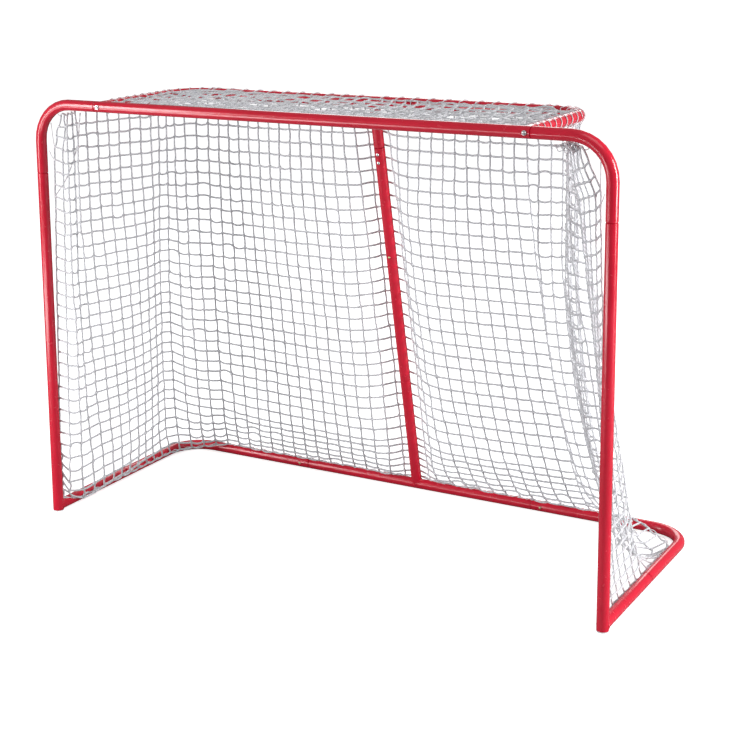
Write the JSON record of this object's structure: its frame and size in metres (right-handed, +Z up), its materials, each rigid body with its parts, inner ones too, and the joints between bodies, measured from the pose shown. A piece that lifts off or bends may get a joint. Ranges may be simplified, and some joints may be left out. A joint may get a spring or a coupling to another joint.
{
  "type": "floorball goal",
  "caption": "Free-standing floorball goal: a knock-down frame of round red steel tube with rounded corners and a square-mesh net laced over it.",
  "frame": {"origin": "on the floor, under the middle of the goal's box", "axes": "+X to the right as seen from in front of the mouth, +Y from the mouth into the goal, +Z up"},
  "size_m": [1.66, 0.6848, 1.1832],
  "materials": {
    "red_tube": "glossy red powder coat",
    "fastener": "bright zinc plate",
    "spring": "plain spring steel",
    "button": "yellow zinc plate",
    "foot": "pale moulded plastic",
    "net": "white knotted cord",
    "lacing": "white cord"
  },
  "bodies": {
    "frame": {"crossbar": "red_tube", "corner_elbow_left": "red_tube", "corner_elbow_right": "red_tube", "post_left": "red_tube", "post_right": "red_tube", "base_arm_left": "red_tube", "base_arm_right": "red_tube", "base_corner_left": "red_tube", "base_corner_right": "red_tube", "base_rear_bar": "red_tube", "top_frame": "red_tube", "support_stub": "red_tube", "support_upper": "red_tube", "support_lower": "red_tube", "top_frame_bolt_left": "fastener", "top_frame_bolt_right": "fastener", "bolt_washer_left": "fastener", "bolt_washer_right": "fastener", "threaded_insert_left": "fastener", "threaded_insert_right": "fastener", "support_screw_upper": "fastener", "support_screw_lower": "fastener", "button_spring_post_left": "spring", "button_spring_post_right": "spring", "button_spring_base_side_left": "spring", "button_spring_base_side_right": "spring", "button_spring_base_rear_left": "spring", "button_spring_base_rear_right": "spring", "button_spring_support": "spring", "foot_cap_left": "foot", "foot_cap_right": "foot", "net_back": "net", "net_top": "net", "net_front_lower_left": "net", "net_front_upper_left": "net", "net_shoulder_left": "net", "net_side_left": "net", "net_bend_left": "net", "net_corner_left": "net", "net_front_lower_right": "net", "net_front_upper_right": "net", "net_shoulder_right": "net", "net_side_right": "net", "net_bend_right": "net", "net_corner_right": "net", "arm_lacing_left": "lacing", "arm_lacing_right": "lacing"},
    "button_post_left": {"snap_button_post_left": "button"},
    "button_post_right": {"snap_button_post_right": "button"},
    "button_base_side_left": {"snap_button_base_side_left": "button"},
    "button_base_side_right": {"snap_button_base_side_right": "button"},
    "button_base_rear_left": {"snap_button_base_rear_left": "button"},
    "button_base_rear_right": {"snap_button_base_rear_right": "button"},
    "button_support": {"snap_button_support": "button"}
  },
  "joints": [
    {"name": "press_post_left", "type": "slide", "parent": "frame", "child": "button_post_left", "axis": [0, -1, 0], "range_m": [0, 0.0042], "stiffness_N_per_m": 3000, "springref_m": -0.0001},
    {"name": "press_post_right", "type": "slide", "parent": "frame", "child": "button_post_right", "axis": [0, -1, 0], "range_m": [0, 0.0042], "stiffness_N_per_m": 3000, "springref_m": -0.0001},
    {"name": "press_base_side_left", "type": "slide", "parent": "frame", "child": "button_base_side_left", "axis": [-1, 0, 0], "range_m": [0, 0.0042], "stiffness_N_per_m": 3000, "springref_m": -0.0001},
    {"name": "press_base_side_right", "type": "slide", "parent": "frame", "child": "button_base_side_right", "axis": [1, 0, 0], "range_m": [0, 0.0042], "stiffness_N_per_m": 3000, "springref_m": -0.0001},
    {"name": "press_base_rear_left", "type": "slide", "parent": "frame", "child": "button_base_rear_left", "axis": [0, 1, 0], "range_m": [0, 0.0042], "stiffness_N_per_m": 3000, "springref_m": -0.0001},
    {"name": "press_base_rear_right", "type": "slide", "parent": "frame", "child": "button_base_rear_right", "axis": [0, 1, 0], "range_m": [0, 0.0042], "stiffness_N_per_m": 3000, "springref_m": -0.0001},
    {"name": "press_support", "type": "slide", "parent": "frame", "child": "button_support", "axis": [0, 0.9772, 0.2124], "range_m": [0, 0.0042], "stiffness_N_per_m": 3000, "springref_m": -0.0001}
  ]
}
